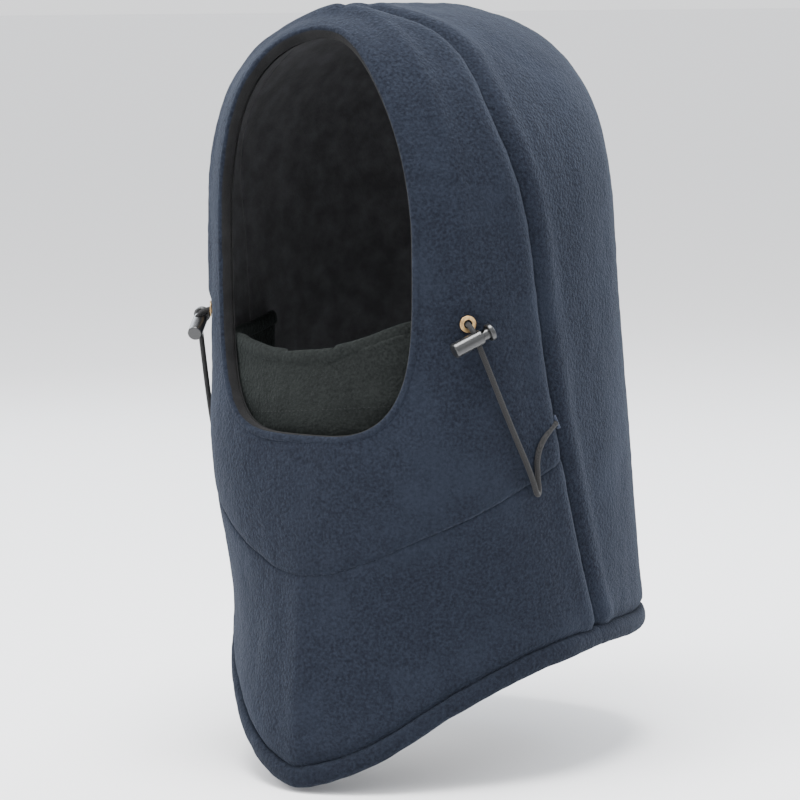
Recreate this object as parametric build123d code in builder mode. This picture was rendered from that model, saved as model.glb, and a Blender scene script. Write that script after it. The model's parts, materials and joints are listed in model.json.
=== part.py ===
"""Fleece balaclava: hood panels, lining, hem, inner face mask and two drawcord adjusters.

Frame: +Z up, the wearer looks along -Y and the wearer's left is +X. The origin is
the crown of the head, on the inside of the lining. All sizes are in millimetres.
"""
from build123d import *
import math
import os

os.makedirs("parts", exist_ok=True)

# ---- Hood shape: horizontal sections that close over the crown ----------------
shell_thickness = 3.4
ply_gap = 0.2
lining_thickness = 3.4
lining_inset = shell_thickness + ply_gap
crown_height = lining_inset + lining_thickness
facing_thickness = 3.8

side_reach = 98.0
side_reach_low = 104.0
side_shoulder = -99.0
side_roundness = 2.1
front_reach = 96.0
front_reach_low = 108.0
front_shoulder = -65.0
front_roundness = 3.4
back_reach = 101.5
back_reach_low = 124.0
back_shoulder = -71.0
back_roundness = 2.9
reach_drop = 200.0
widest_line = -4.0
front_squareness = 2.4
front_squareness_low = 1.6
back_squareness = 2.5
prow_start = -200.0
prow_depth = 120.0
chin_bulge = 3.2
chin_height = -232.0
chin_spread = 35.0
bib_flare_start = -230.0
bib_flare_depth = 170.0
section_drops = (0.35, 1.3, 3.2, 6.5, 12, 20, 33, 52, 80, 115, 150, 185, 220, 255, 290, 320, 350, 380, 410)

# Side of the blocks that cut away everything past a plane.
beyond = 400.0

# ---- Seams and hem, as curves in the side view (Y, Z) -------------------------
side_seam = ((-48, 30), (-42, 4), (-37, -12), (-40, -50), (-28, -110), (-15, -200), (16, -310), (46, -410))
bib_seam = ((-125, -298), (-99, -277.5), (-92.5, -270), (-77, -254.5), (-48, -237.5), (-10, -221), (30, -206))
hem_edge = (
    (-125, -402),
    (-108, -385.5),
    (-92, -371),
    (-64, -346),
    (-27, -328),
    (20, -322.5),
    (66, -324.5),
    (130, -327),
    (150, -328),
)
hem_height = 11.0
seam_gap = 0.2
hem_stand_out = 1.0
hem_inset = crown_height + 1.2

# ---- Face opening: half width, top and bottom of its cut at two depths --------
opening_centre = -111.0
cut_near = -20.0
cut_far = -150.0
opening_near = (15.1, -73.0, -195.0)
opening_far = (113.0, 99.0, -214.0)
facing_near = (28.8, -54.0, -226.0)
facing_far = (216.0, 280.0, -246.0)
lining_cut_gap = 0.3
opening_top_squareness = 1.75
opening_bottom_squareness = 3.9

# ---- Inner mask: one stiffened band that slides down under the chin ------------
mask_travel_down = 40.0
mask_clearance = 2.3
mask_ply = 1.6
mask_gap = 0.1
mask_inset = lining_inset + facing_thickness + mask_clearance
mask_thickness = 2 * mask_ply + mask_gap
mask_top = ((-120, -169), (-92, -166), (-62, -153), (-20, -147.5), (20, -147))
mask_bottom = -228.0
below_mask = -248.0
mask_back = -4.0
mask_section_heights = (-130, -155, -180, -210, -240)
mask_binding_height = 7.0
binding_swell = 0.4
mask_hem_height = 12.0
elastic_height = 4.0
elastic_thickness = 1.0

# ---- Drawcord, eyelet and cord lock --------------------------------------------
cord_radius = 1.4
cord_bend = 0.45
groove_clearance = 0.15
eyelet_centre = (82.0, -65.0, -149.0)
eyelet_normal = (0.782, -0.623, 0.02)
eyelet_hole_radius = 2.2
eyelet_barrel_radius = 2.7
eyelet_flange_radius = 4.2
eyelet_flange_thickness = 0.8
eyelet_stand_off = 0.1
eyelet_hole_middle = 4.2
eyelet_hole_half_length = 5.0
washer_thickness = 0.5
washer_depth = shell_thickness + 0.55
tack_size = (8.0, 2.2, 2.2)

free_cord_route = (
    (80.8, -64.1, -148.9),
    (87.6, -69.4, -150.0),
    (97.3, -50.6, -201.1),
    (100.9, -42.0, -221.0),
    (102.5, -38.9, -230.3),
    (103.4, -37.5, -236.7),
    (101.3, -32.2, -236.0),
    (100.9, -33.1, -228.6),
    (100.8, -33.3, -217.0),
    (101.8, -27.3, -207.6),
    (102.3, -18.0, -202.4),
)
channel_cord_half_route = (
    (80.8, -64.1, -148.9),
    (77.13, -61.18, -149.1),
    (76.2, -62.6, -132.0),
    (76.23, -62.5, -113.01),
    (75.34, -63.1, -94.01),
    (73.2, -63.75, -75.54),
    (69.07, -64.33, -58.59),
    (63.19, -64.56, -43.63),
    (56.06, -63.84, -31.23),
    (48.26, -62.12, -21.52),
    (39.84, -59.37, -13.8),
    (30.07, -55.79, -7.51),
    (17.99, -52.09, -2.72),
    (5.0, -49.9, -0.6),
)

lock_start = 6.5
lock_travel = 28.0
lock_tilt = (0.4263, 0.8026, 0.4173)
lock_outer_radius = 3.8
lock_bore_radius = 2.8
lock_front = -13.5
lock_back = 3.0
lock_floor = 1.4
lock_hole_radius = 1.95
plunger_radius = 2.74
plunger_front = -5.5
plunger_travel = 3.5
plunger_slot_clearance = 0.5
cap_radius = 4.4
cap_front = 6.8
cap_thickness = 2.5
cap_rounding = 0.7
spring_radius = 2.1
spring_wire_radius = 0.25
spring_turns = 4
spring_clearance = 0.05


def ease(share):
    """Smooth step from 0 to 1."""
    share = min(max(share, 0.0), 1.0)
    return share * share * (3.0 - 2.0 * share)


def dome(height, shoulder, top, roundness):
    """Share of the full reach that is left at one height, as the hood closes over the crown."""
    rise = min(max((height - shoulder) / (top - shoulder), 0.0), 1.0)
    return (1.0 - rise ** roundness) ** (1.0 / roundness)


def section_reach(height, inset):
    """Side, front and back reach of the section at one height, inset from the outer face."""
    top = crown_height - inset
    side_share = min(max((side_shoulder - height) / reach_drop, 0.0), 1.2)
    side = side_reach - inset + (side_reach_low - side_reach) * side_share
    chin = chin_bulge * math.exp(-(((height - chin_height) / chin_spread) ** 2))
    flare = (front_reach_low - front_reach) * ease((bib_flare_start - height) / bib_flare_depth)
    front = front_reach - inset + chin + flare
    back_share = min(max((back_shoulder - height) / reach_drop, 0.0), 1.3)
    back = back_reach - inset + (back_reach_low - back_reach) * back_share
    return (
        side * dome(height, side_shoulder, top, side_roundness),
        front * dome(height, front_shoulder, top, front_roundness),
        back * dome(height, back_shoulder, top, back_roundness),
    )


def handle(squareness):
    """Length of a quarter curve's handles that gives a superellipse of one squareness."""
    return (8 * 2 ** (-1 / squareness) - 4) / 3


def draw_section(height, inset):
    """Closed line around the hood's section at one height: four quarter curves."""
    side, front, back = section_reach(height, inset)
    squareness_change = (front_squareness_low - front_squareness) * ease((prow_start - height) / prow_depth)
    ahead = front + widest_line
    behind = back - widest_line
    front_handle = handle(front_squareness + squareness_change)
    draw_quarters(side, widest_line, -ahead, front_handle, behind, handle(back_squareness))


def draw_quarters(half_width, middle, first, first_handle, second, second_handle):
    """Closed line of four quarter curves about (0, middle), reaching first one way and second the other."""
    for sign, reach, grip in ((1, first, first_handle), (-1, second, second_handle)):
        for side in (sign, -sign):
            tip = (0, middle + reach)
            corner = (side * half_width, middle)
            tip_handle = (side * half_width * grip, middle + reach)
            corner_handle = (side * half_width, middle + reach * grip)
            if side == sign:
                Bezier(corner, corner_handle, tip_handle, tip)
            else:
                Bezier(tip, tip_handle, corner_handle, corner)


def loft_sections(heights, section_heights, inset):
    """Solid through hood sections, each drawn as it is at its section height."""
    with BuildPart() as body:
        for height, section_height in zip(heights, section_heights):
            with BuildSketch(Plane.XY.offset(height)):
                with BuildLine():
                    draw_section(section_height, inset)
                make_face()
        loft()
    return body.part


def hood_solid(inset):
    """Everything inside the hood's outer face, inset by a depth."""
    heights = [crown_height - inset - drop for drop in section_drops]
    return loft_sections(heights, heights, inset)


def hood_layer(outer_inset, inner_inset):
    """The ply of the hood between two depths."""
    with BuildPart() as layer:
        add(hood_solid(outer_inset))
        add(hood_solid(inner_inset), mode=Mode.SUBTRACT)
    return layer.part


def mask_layer(outer_inset, inner_inset):
    """A ply of the mask, cut to clear the hood at every height of its travel."""
    hood_heights = [height - mask_travel_down for height in mask_section_heights]
    solids = [loft_sections(mask_section_heights, hood_heights, inset) for inset in (outer_inset, inner_inset)]
    with BuildPart() as layer:
        add(solids[0])
        add(solids[1], mode=Mode.SUBTRACT)
    return layer.part


def side_view_region(curve, closing_corners, half_width=160.0):
    """Solid whose side view is bounded by a curve and straight lines back to its start."""
    with BuildPart() as region:
        with BuildSketch(Plane.YZ):
            with BuildLine():
                Spline(*curve)
                Polyline(curve[-1], *closing_corners, curve[0])
            make_face()
        extrude(amount=half_width, both=True)
    return region.part


def region_ahead(curve, shift):
    """Everything ahead of a rising side-view curve, moved back by a shift."""
    moved = [(y + shift, z) for y, z in curve]
    return side_view_region(moved, ((-260, moved[-1][1]), (-260, moved[0][1])))


def region_above(curve, shift):
    """Everything above a side-view curve, moved up by a shift."""
    moved = [(y, z + shift) for y, z in curve]
    return side_view_region(moved, ((moved[-1][0], 60), (moved[0][0], 60)))


def opening_cut(near, far):
    """Flaring cut through the front of the hood between two outlines."""
    with BuildPart() as cut:
        for depth, (half_width, top, bottom) in ((cut_near, near), (cut_far, far)):
            above = top - opening_centre
            below = bottom - opening_centre
            top_handle = handle(opening_top_squareness)
            with BuildSketch(Plane.XZ.offset(-depth)):
                with BuildLine():
                    draw_quarters(
                        half_width, opening_centre, above, top_handle, below, handle(opening_bottom_squareness)
                    )
                make_face()
        loft(ruled=True)
    return cut.part


def cord_radii(route):
    """Bend radius at each inner point of a route: as large as its two runs allow."""
    points = [Vector(*point) for point in route]
    radii = []
    for before, here, after in zip(points, points[1:], points[2:]):
        turn = math.radians((here - before).get_angle(after - here))
        shorter_run = min((here - before).length, (after - here).length)
        radii.append(cord_bend * shorter_run / math.tan(turn / 2))
    return radii


def cord_tube(route, radius, name):
    """Round tube along straight runs joined by tangent arcs."""
    radii = cord_radii(route)
    with BuildPart() as tube:
        with BuildLine() as path:
            FilletPolyline(*route, radius=radii)
        with BuildSketch(Plane(origin=path.line @ 0, z_dir=path.line % 0)):
            Circle(radius)
        sweep()
    length = sum(edge.length for edge in path.edges())
    print(name, "length", round(length, 1), "smallest radius", round(min(radii), 1))
    print("  volume / (section x length)", round(tube.part.volume / (math.pi * radius ** 2 * length), 4))
    return tube.part


def finish(part, name):
    """Name a piece and write it out."""
    part.label = name
    export_step(part, f"parts/{name}.step")


# ---- Shared construction solids -------------------------------------------------
shell = hood_layer(0, shell_thickness)
lining = hood_layer(lining_inset, crown_height)
facing_ply = hood_layer(lining_inset, lining_inset + facing_thickness)
hem_ply = hood_layer(-hem_stand_out, hem_inset)
hem_top = [(y, z + hem_height) for y, z in hem_edge]
ahead_of_seam = region_ahead(side_seam, 0)
up_to_back_panels = region_ahead(side_seam, seam_gap)
above_bib_seam = region_above(bib_seam, 0)
down_to_bib = region_above(bib_seam, -seam_gap)
above_hem = region_above(hem_top, 0)
down_to_hem = region_above(hem_top, -seam_gap)
above_edge = region_above(hem_edge, 0)
face_cut = opening_cut(opening_near, opening_far)
facing_cut = opening_cut(facing_near, facing_far)
wider_near = (facing_near[0] + lining_cut_gap, facing_near[1] + lining_cut_gap, facing_near[2] - lining_cut_gap)
wider_far = (facing_far[0] + lining_cut_gap, facing_far[1] + lining_cut_gap, facing_far[2] - lining_cut_gap)
lining_cut = opening_cut(wider_near, wider_far)
left_half = Pos((beyond + seam_gap) / 2, 0, -beyond / 2) * Box(beyond, beyond, 1.5 * beyond)
eyelet_plane = Plane(origin=eyelet_centre, x_dir=(0.623, 0.782, 0), z_dir=eyelet_normal)
eyelet_hole_plane = eyelet_plane.offset(-eyelet_hole_middle)
eyelet_holes = []
for hole_radius in (eyelet_barrel_radius, eyelet_flange_radius + groove_clearance):
    with BuildPart() as left_hole:
        with BuildSketch(eyelet_hole_plane):
            Circle(hole_radius)
        extrude(amount=eyelet_hole_half_length, both=True)
    with BuildPart() as both_holes:
        add(left_hole.part)
        mirror(left_hole.part, about=Plane.YZ)
    eyelet_holes.append(both_holes.part)
shell_holes, lining_holes = eyelet_holes

# ---- Drawcord held between the plies, from eyelet to eyelet over the forehead ------
right_half_route = [(-x, y, z) for x, y, z in reversed(channel_cord_half_route)]
channel_cord_route = list(channel_cord_half_route) + right_half_route
drawcord_in_channel = cord_tube(channel_cord_route, cord_radius, "drawcord_in_channel")
cord_groove = cord_tube(channel_cord_route, cord_radius + groove_clearance, "groove")
finish(drawcord_in_channel, "drawcord_in_channel")

# ---- Shell panels ----------------------------------------------------------------
with BuildPart() as front_hood_panel:
    add(shell)
    add(ahead_of_seam, mode=Mode.INTERSECT)
    add(above_bib_seam, mode=Mode.INTERSECT)
    add(face_cut, mode=Mode.SUBTRACT)
    add(shell_holes, mode=Mode.SUBTRACT)
finish(front_hood_panel.part, "front_hood_panel")

with BuildPart() as bib_panel:
    add(shell)
    add(ahead_of_seam, mode=Mode.INTERSECT)
    add(down_to_bib, mode=Mode.SUBTRACT)
    add(above_hem, mode=Mode.INTERSECT)
finish(bib_panel.part, "bib_panel")

with BuildPart() as back_panel_left:
    add(shell)
    add(up_to_back_panels, mode=Mode.SUBTRACT)
    add(above_hem, mode=Mode.INTERSECT)
    add(left_half, mode=Mode.INTERSECT)
finish(back_panel_left.part, "back_panel_left")

with BuildPart() as back_panel_right:
    mirror(back_panel_left.part, about=Plane.YZ)
finish(back_panel_right.part, "back_panel_right")

# ---- Hem, rolled over the edge of the shell and the lining -------------------------
with BuildPart() as front_hem_band:
    add(hem_ply)
    add(above_edge, mode=Mode.INTERSECT)
    add(down_to_hem, mode=Mode.SUBTRACT)
    add(ahead_of_seam, mode=Mode.INTERSECT)
finish(front_hem_band.part, "front_hem_band")

with BuildPart() as back_hem_band_left:
    add(hem_ply)
    add(above_edge, mode=Mode.INTERSECT)
    add(down_to_hem, mode=Mode.SUBTRACT)
    add(up_to_back_panels, mode=Mode.SUBTRACT)
    add(left_half, mode=Mode.INTERSECT)
finish(back_hem_band_left.part, "back_hem_band_left")

with BuildPart() as back_hem_band_right:
    mirror(back_hem_band_left.part, about=Plane.YZ)
finish(back_hem_band_right.part, "back_hem_band_right")

# ---- Lining and the facing around the opening --------------------------------------
with BuildPart() as face_opening_facing:
    add(facing_ply)
    add(lining_holes, mode=Mode.SUBTRACT)
    add(facing_cut, mode=Mode.INTERSECT)
    add(ahead_of_seam, mode=Mode.INTERSECT)
    add(face_cut, mode=Mode.SUBTRACT)
    add(cord_groove, mode=Mode.SUBTRACT)
finish(face_opening_facing.part, "face_opening_facing")

with BuildPart() as front_lining:
    add(lining)
    add(ahead_of_seam, mode=Mode.INTERSECT)
    add(above_bib_seam, mode=Mode.INTERSECT)
    add(lining_cut, mode=Mode.SUBTRACT)
finish(front_lining.part, "front_lining")

with BuildPart() as bib_lining:
    add(lining)
    add(ahead_of_seam, mode=Mode.INTERSECT)
    add(down_to_bib, mode=Mode.SUBTRACT)
    add(above_hem, mode=Mode.INTERSECT)
    add(lining_cut, mode=Mode.SUBTRACT)
finish(bib_lining.part, "bib_lining")

with BuildPart() as back_lining_left:
    add(lining)
    add(up_to_back_panels, mode=Mode.SUBTRACT)
    add(above_hem, mode=Mode.INTERSECT)
    add(left_half, mode=Mode.INTERSECT)
finish(back_lining_left.part, "back_lining_left")

with BuildPart() as back_lining_right:
    mirror(back_lining_left.part, about=Plane.YZ)
finish(back_lining_right.part, "back_lining_right")

# ---- Mask: two plies between a bound top edge with elastic and a plain hem ----------
behind_mask = Pos(0, mask_back + beyond / 2, -beyond / 2) * Box(beyond, beyond, beyond)


def mask_band(top_drop, bottom):
    """Side-view solid between the mask's top curve, lowered, and a level line."""
    top_curve = [(y, z - top_drop) for y, z in mask_top]
    corners = ((mask_top[-1][0], bottom), (mask_top[0][0], bottom))
    with BuildPart() as band:
        add(side_view_region(top_curve, corners))
        add(behind_mask, mode=Mode.SUBTRACT)
    return band.part


def mask_piece(outer_inset, inner_inset, top_drop, bottom):
    """A ply of the mask between a lowered top curve and a level line."""
    with BuildPart() as piece:
        add(mask_layer(outer_inset, inner_inset))
        add(mask_band(top_drop, bottom), mode=Mode.INTERSECT)
    return piece.part


mask_inner_face = mask_inset + mask_thickness
elastic_inset = mask_inset + (mask_thickness - elastic_thickness) / 2
elastic_drop = (mask_binding_height - elastic_height) / 2
ply_drop = mask_binding_height + seam_gap
ply_bottom = mask_bottom + mask_hem_height + seam_gap

mask_outer_layer = mask_piece(mask_inset, mask_inset + mask_ply, ply_drop, ply_bottom)
mask_inner_layer = mask_piece(mask_inset + mask_ply + mask_gap, mask_inner_face, ply_drop, ply_bottom)
finish(mask_outer_layer, "mask_outer_layer")
finish(mask_inner_layer, "mask_inner_layer")

with BuildPart() as mask_hem:
    add(mask_layer(mask_inset, mask_inner_face))
    add(mask_band(ply_drop, mask_bottom), mode=Mode.INTERSECT)
    add(mask_band(0, ply_bottom - seam_gap), mode=Mode.SUBTRACT)
finish(mask_hem.part, "mask_hem")

elastic_below = mask_band(elastic_drop + elastic_height, below_mask)
with BuildPart() as mask_edge_elastic:
    add(mask_layer(elastic_inset, elastic_inset + elastic_thickness))
    add(mask_band(elastic_drop, below_mask), mode=Mode.INTERSECT)
    add(elastic_below, mode=Mode.SUBTRACT)
finish(mask_edge_elastic.part, "mask_edge_elastic")

with BuildPart() as elastic_tunnel:
    add(mask_layer(elastic_inset - mask_gap, elastic_inset + elastic_thickness + mask_gap))
    add(mask_band(elastic_drop - mask_gap, below_mask), mode=Mode.INTERSECT)
    add(mask_band(elastic_drop + elastic_height + mask_gap, below_mask), mode=Mode.SUBTRACT)

with BuildPart() as mask_edge_binding:
    add(mask_layer(mask_inset - binding_swell, mask_inner_face + binding_swell))
    add(mask_band(0, below_mask), mode=Mode.INTERSECT)
    add(mask_band(mask_binding_height, below_mask), mode=Mode.SUBTRACT)
    add(elastic_tunnel.part, mode=Mode.SUBTRACT)
finish(mask_edge_binding.part, "mask_edge_binding")

# ---- Left eyelet and washer -----------------------------------------------------------
with BuildPart() as eyelet_left:
    with BuildSketch(eyelet_plane.offset(-washer_depth - washer_thickness)):
        Circle(eyelet_barrel_radius)
        Circle(eyelet_hole_radius, mode=Mode.SUBTRACT)
    extrude(amount=washer_depth + washer_thickness + eyelet_stand_off)
    with BuildSketch(eyelet_plane.offset(eyelet_stand_off)):
        Circle(eyelet_flange_radius)
        Circle(eyelet_hole_radius, mode=Mode.SUBTRACT)
    extrude(amount=eyelet_flange_thickness)
    outer_rim = eyelet_left.edges().filter_by(GeomType.CIRCLE).sort_by(SortBy.RADIUS)[-2:]
    fillet(outer_rim, eyelet_flange_thickness * 0.4)

with BuildPart() as eyelet_washer_left:
    with BuildSketch(eyelet_plane.offset(-washer_depth - washer_thickness)):
        Circle(eyelet_flange_radius)
        Circle(eyelet_barrel_radius, mode=Mode.SUBTRACT)
    extrude(amount=washer_thickness)

# ---- Left free cord and its tack in the side seam --------------------------------------
drawcord_left = cord_tube(free_cord_route, cord_radius, "drawcord_left")
cord_end = Vector(*free_cord_route[-1])
cord_end_direction = (cord_end - Vector(*free_cord_route[-2])).normalized()
tack_plane = Plane(origin=cord_end, x_dir=(1, 0, 0), z_dir=cord_end_direction)

with BuildPart() as cord_tack_left:
    with BuildSketch(tack_plane):
        Rectangle(tack_size[1], tack_size[0])
    extrude(amount=tack_size[2])
    fillet(cord_tack_left.edges().group_by(Axis.X)[-1], tack_size[1] * 0.3)

# ---- Left cord lock: barrel, plunger and spring -----------------------------------------
run_start = Vector(*free_cord_route[1])
run_direction = (Vector(*free_cord_route[2]) - run_start).normalized()
lock_axis = Vector(*lock_tilt)
lock_axis = (lock_axis - run_direction * lock_axis.dot(run_direction)).normalized()
lock_centre = run_start + run_direction * lock_start
lock_plane = Plane(origin=lock_centre, x_dir=run_direction, z_dir=lock_axis)
cord_hole_plane = Plane(origin=lock_centre, x_dir=lock_axis, z_dir=run_direction)
print("lock slide axis", [round(v, 5) for v in tuple(run_direction)])
print("plunger axis", [round(v, 5) for v in tuple(lock_axis)])

with BuildPart() as cord_lock_body_left:
    with BuildSketch(lock_plane.offset(lock_front)):
        Circle(lock_outer_radius)
    extrude(amount=lock_back - lock_front)
    rims = cord_lock_body_left.edges().filter_by(GeomType.CIRCLE)
    fillet(rims, cap_rounding)
    with BuildSketch(lock_plane.offset(lock_front + lock_floor)):
        Circle(lock_bore_radius)
    extrude(amount=lock_back - lock_front, mode=Mode.SUBTRACT)
    with BuildSketch(cord_hole_plane):
        Circle(lock_hole_radius)
    extrude(amount=2 * lock_outer_radius, both=True, mode=Mode.SUBTRACT)

slot_front = -lock_hole_radius - plunger_slot_clearance
slot_back = lock_hole_radius + plunger_travel
with BuildPart() as cord_lock_plunger_left:
    with BuildSketch(lock_plane.offset(plunger_front - plunger_slot_clearance)):
        Circle(plunger_radius)
    extrude(amount=cap_front - plunger_front + plunger_slot_clearance)
    with BuildSketch(cord_hole_plane):
        with Locations(((slot_front + slot_back) / 2, 0)):
            SlotOverall(slot_back - slot_front, 2 * lock_hole_radius)
    extrude(amount=2 * lock_outer_radius, both=True, mode=Mode.SUBTRACT)
    with BuildSketch(lock_plane.offset(cap_front)):
        Circle(cap_radius)
    extrude(amount=cap_thickness)
    cap_rims = cord_lock_plunger_left.edges().filter_by(GeomType.CIRCLE).sort_by(SortBy.RADIUS)[-2:]
    fillet(cap_rims, cap_rounding)

spring_start = lock_front + lock_floor + spring_wire_radius + spring_clearance
spring_end = plunger_front - plunger_slot_clearance - spring_wire_radius - spring_clearance
spring_length = spring_end - spring_start
with BuildPart() as cord_lock_spring_left:
    with BuildLine() as coil:
        Helix(
            spring_length / spring_turns,
            spring_length,
            spring_radius,
            center=lock_plane.offset(spring_start).origin,
            direction=lock_plane.z_dir,
        )
    with BuildSketch(Plane(origin=coil.line @ 0, z_dir=coil.line % 0)):
        Circle(spring_wire_radius)
    sweep(is_frenet=True)

# ---- Both sides of every paired piece ----------------------------------------------------
left_pieces = {
    "eyelet": eyelet_left.part,
    "eyelet_washer": eyelet_washer_left.part,
    "drawcord": drawcord_left,
    "cord_tack": cord_tack_left.part,
    "cord_lock_body": cord_lock_body_left.part,
    "cord_lock_plunger": cord_lock_plunger_left.part,
    "cord_lock_spring": cord_lock_spring_left.part,
}
for name, left_piece in left_pieces.items():
    with BuildPart() as right_piece:
        mirror(left_piece, about=Plane.YZ)
    finish(left_piece, name + "_left")
    finish(right_piece.part, name + "_right")
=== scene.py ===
import json
import math

import bpy
import numpy as np
from mathutils import Matrix, Vector, noise
from mathutils.kdtree import KDTree


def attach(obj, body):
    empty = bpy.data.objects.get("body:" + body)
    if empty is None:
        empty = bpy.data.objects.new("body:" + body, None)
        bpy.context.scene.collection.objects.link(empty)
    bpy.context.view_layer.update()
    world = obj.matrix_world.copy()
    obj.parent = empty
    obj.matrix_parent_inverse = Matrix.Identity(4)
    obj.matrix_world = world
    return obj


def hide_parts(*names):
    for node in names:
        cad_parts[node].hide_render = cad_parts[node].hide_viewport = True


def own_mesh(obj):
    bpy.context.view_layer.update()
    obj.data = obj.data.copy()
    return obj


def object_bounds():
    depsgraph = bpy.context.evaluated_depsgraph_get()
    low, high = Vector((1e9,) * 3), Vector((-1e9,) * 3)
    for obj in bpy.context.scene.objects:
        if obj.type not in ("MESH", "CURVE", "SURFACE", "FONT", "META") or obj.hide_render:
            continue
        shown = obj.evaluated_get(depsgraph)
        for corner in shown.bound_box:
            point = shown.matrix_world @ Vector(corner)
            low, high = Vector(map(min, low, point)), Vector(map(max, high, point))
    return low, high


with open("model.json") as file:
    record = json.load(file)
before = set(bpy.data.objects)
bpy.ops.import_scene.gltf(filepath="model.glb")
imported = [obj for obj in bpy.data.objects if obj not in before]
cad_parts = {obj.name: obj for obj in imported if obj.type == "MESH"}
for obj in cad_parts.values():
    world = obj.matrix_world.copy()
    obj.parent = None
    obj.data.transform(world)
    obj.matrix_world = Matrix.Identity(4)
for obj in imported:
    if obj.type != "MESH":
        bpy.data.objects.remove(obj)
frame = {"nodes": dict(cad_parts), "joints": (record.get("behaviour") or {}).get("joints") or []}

MM = 0.001
CAD_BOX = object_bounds()
SIDES = {"left": 1, "right": -1}

# ---- The hood's outer face: horizontal sections that close over the crown --------------------
CROWN = 7.0
WIDEST_LINE = -4.0
SIDE = (98.0, 104.0, -99.0, 2.1)
FRONT = (96.0, 108.0, -65.0, 3.4)
BACK = (101.5, 124.0, -71.0, 2.9)
REACH_DROP = 200.0
FRONT_SQUARENESS = (2.4, 1.6)
BACK_SQUARENESS = 2.5
CHIN_SWELL = 3.2
CHIN_HEIGHT = -232
SHELL = 3.4
LINING_INSET = 6.2
LINING = 0.8
SPINE_TOP = -70.0

# Seams and the hem as the side view shows them, as (y, z) pairs.
SIDE_SEAM = ((-48, 30), (-42, 4), (-37, -12), (-40, -50), (-28, -110), (-15, -200), (16, -310), (46, -410))
BIB_SEAM = ((-125, -298), (-99, -277.5), (-92.5, -270), (-77, -254.5), (-48, -237.5), (-10, -221), (30, -206))
HEM_EDGE = (
    (-125, -402),
    (-108, -385.5),
    (-92, -371),
    (-64, -346),
    (-27, -328),
    (20, -322.5),
    (66, -324.5),
    (130, -327),
    (150, -328),
)
HEM_HEIGHT = 10.5

OPENING_HALF_WIDTH = 61.6
OPENING_MIDDLE = -111.0
OPENING_UP = 108.0
OPENING_DOWN = 95.5
OPENING_SQUARENESS = (2.1, 3.9)

MASK_INSET = 9.7
MASK_THICKNESS = 3.3
MASK_TOP = (
    (-120, -166),
    (-90, -164),
    (-87, -162),
    (-81, -156.5),
    (-73, -153),
    (-50, -152),
    (-25, -150),
    (-7, -146.5),
    (9, -142),
)
MASK_LEAN = 0.105
MASK_BOTTOM = -228.0
MASK_BACK = -4.5
MASK_DROP = 40.0
MASK_PLY_GAP = 1.7
MASK_PLY_THICKNESS = 1.5

CORD_RADIUS = 1.4
FREE_CORD = (
    (80.8, -64.1, -148.9),
    (87.6, -69.4, -150.0),
    (89.1, -66.4, -158.0),
    (97.3, -50.6, -201.1),
    (100.9, -42.0, -221.0),
    (102.5, -38.9, -230.3),
    (103.4, -37.5, -236.7),
    (101.3, -32.2, -236.0),
    (100.9, -33.1, -228.6),
    (100.8, -33.3, -217.0),
    (101.8, -27.3, -207.6),
    (102.3, -18.0, -202.4),
)
CHANNEL = (
    (77.4, -61.4, -149.1),
    (76.2, -62.6, -132.0),
    (76.6, -62.8, -113.0),
    (75.7, -63.4, -94.0),
    (73.5, -64.0, -75.5),
    (69.4, -64.6, -58.5),
    (63.5, -64.8, -43.5),
    (56.4, -64.1, -31.0),
    (48.5, -62.3, -21.3),
    (40.0, -59.5, -13.6),
    (30.2, -55.9, -7.3),
    (18.0, -52.1, -2.7),
    (5.0, -49.9, -0.6),
)


def ease(share):
    share = np.clip(share, 0, 1)
    return share * share * (3 - 2 * share)


def dome(height, shoulder, top, roundness):
    rise = np.clip((height - shoulder) / (top - shoulder), 0, 1)
    return np.maximum(1 - rise ** roundness, 0) ** (1 / roundness)


def reaches(height, inset=0.0):
    """Side, front and back reach of the section at each height."""
    top = CROWN - inset
    side = SIDE[0] - inset + (SIDE[1] - SIDE[0]) * np.clip((SIDE[2] - height) / REACH_DROP, 0, 1.2)
    chin = CHIN_SWELL * np.exp(-(((height - CHIN_HEIGHT) / 35) ** 2))
    front = FRONT[0] - inset + chin + (FRONT[1] - FRONT[0]) * ease((-230 - height) / 170)
    back = BACK[0] - inset + (BACK[1] - BACK[0]) * np.clip((BACK[2] - height) / REACH_DROP, 0, 1.3)
    return (
        side * dome(height, SIDE[2], top, SIDE[3]),
        front * dome(height, FRONT[2], top, FRONT[3]),
        back * dome(height, BACK[2], top, BACK[3]),
    )


def front_power(height):
    change = FRONT_SQUARENESS[1] - FRONT_SQUARENESS[0]
    return FRONT_SQUARENESS[0] + change * ease((-200 - height) / 120)


def level(points, inset=0.0, drop=0.0):
    """Below 0 inside the hood's face, 0 on it, above 0 outside. drop reads the section lower down."""
    x, y, z = points[..., 0], points[..., 1], points[..., 2] - drop
    side, front, back = reaches(z, inset)
    ahead = y < WIDEST_LINE
    depth = np.where(ahead, front + WIDEST_LINE, back - WIDEST_LINE)
    power = np.where(ahead, front_power(z), BACK_SQUARENESS)
    tiny = 1e-6
    across = (np.abs(x) / np.maximum(side, tiny)) ** power
    along = (np.abs(y - WIDEST_LINE) / np.maximum(depth, tiny)) ** power
    return np.where(z < CROWN - inset, across + along - 1, 1.0)


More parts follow.
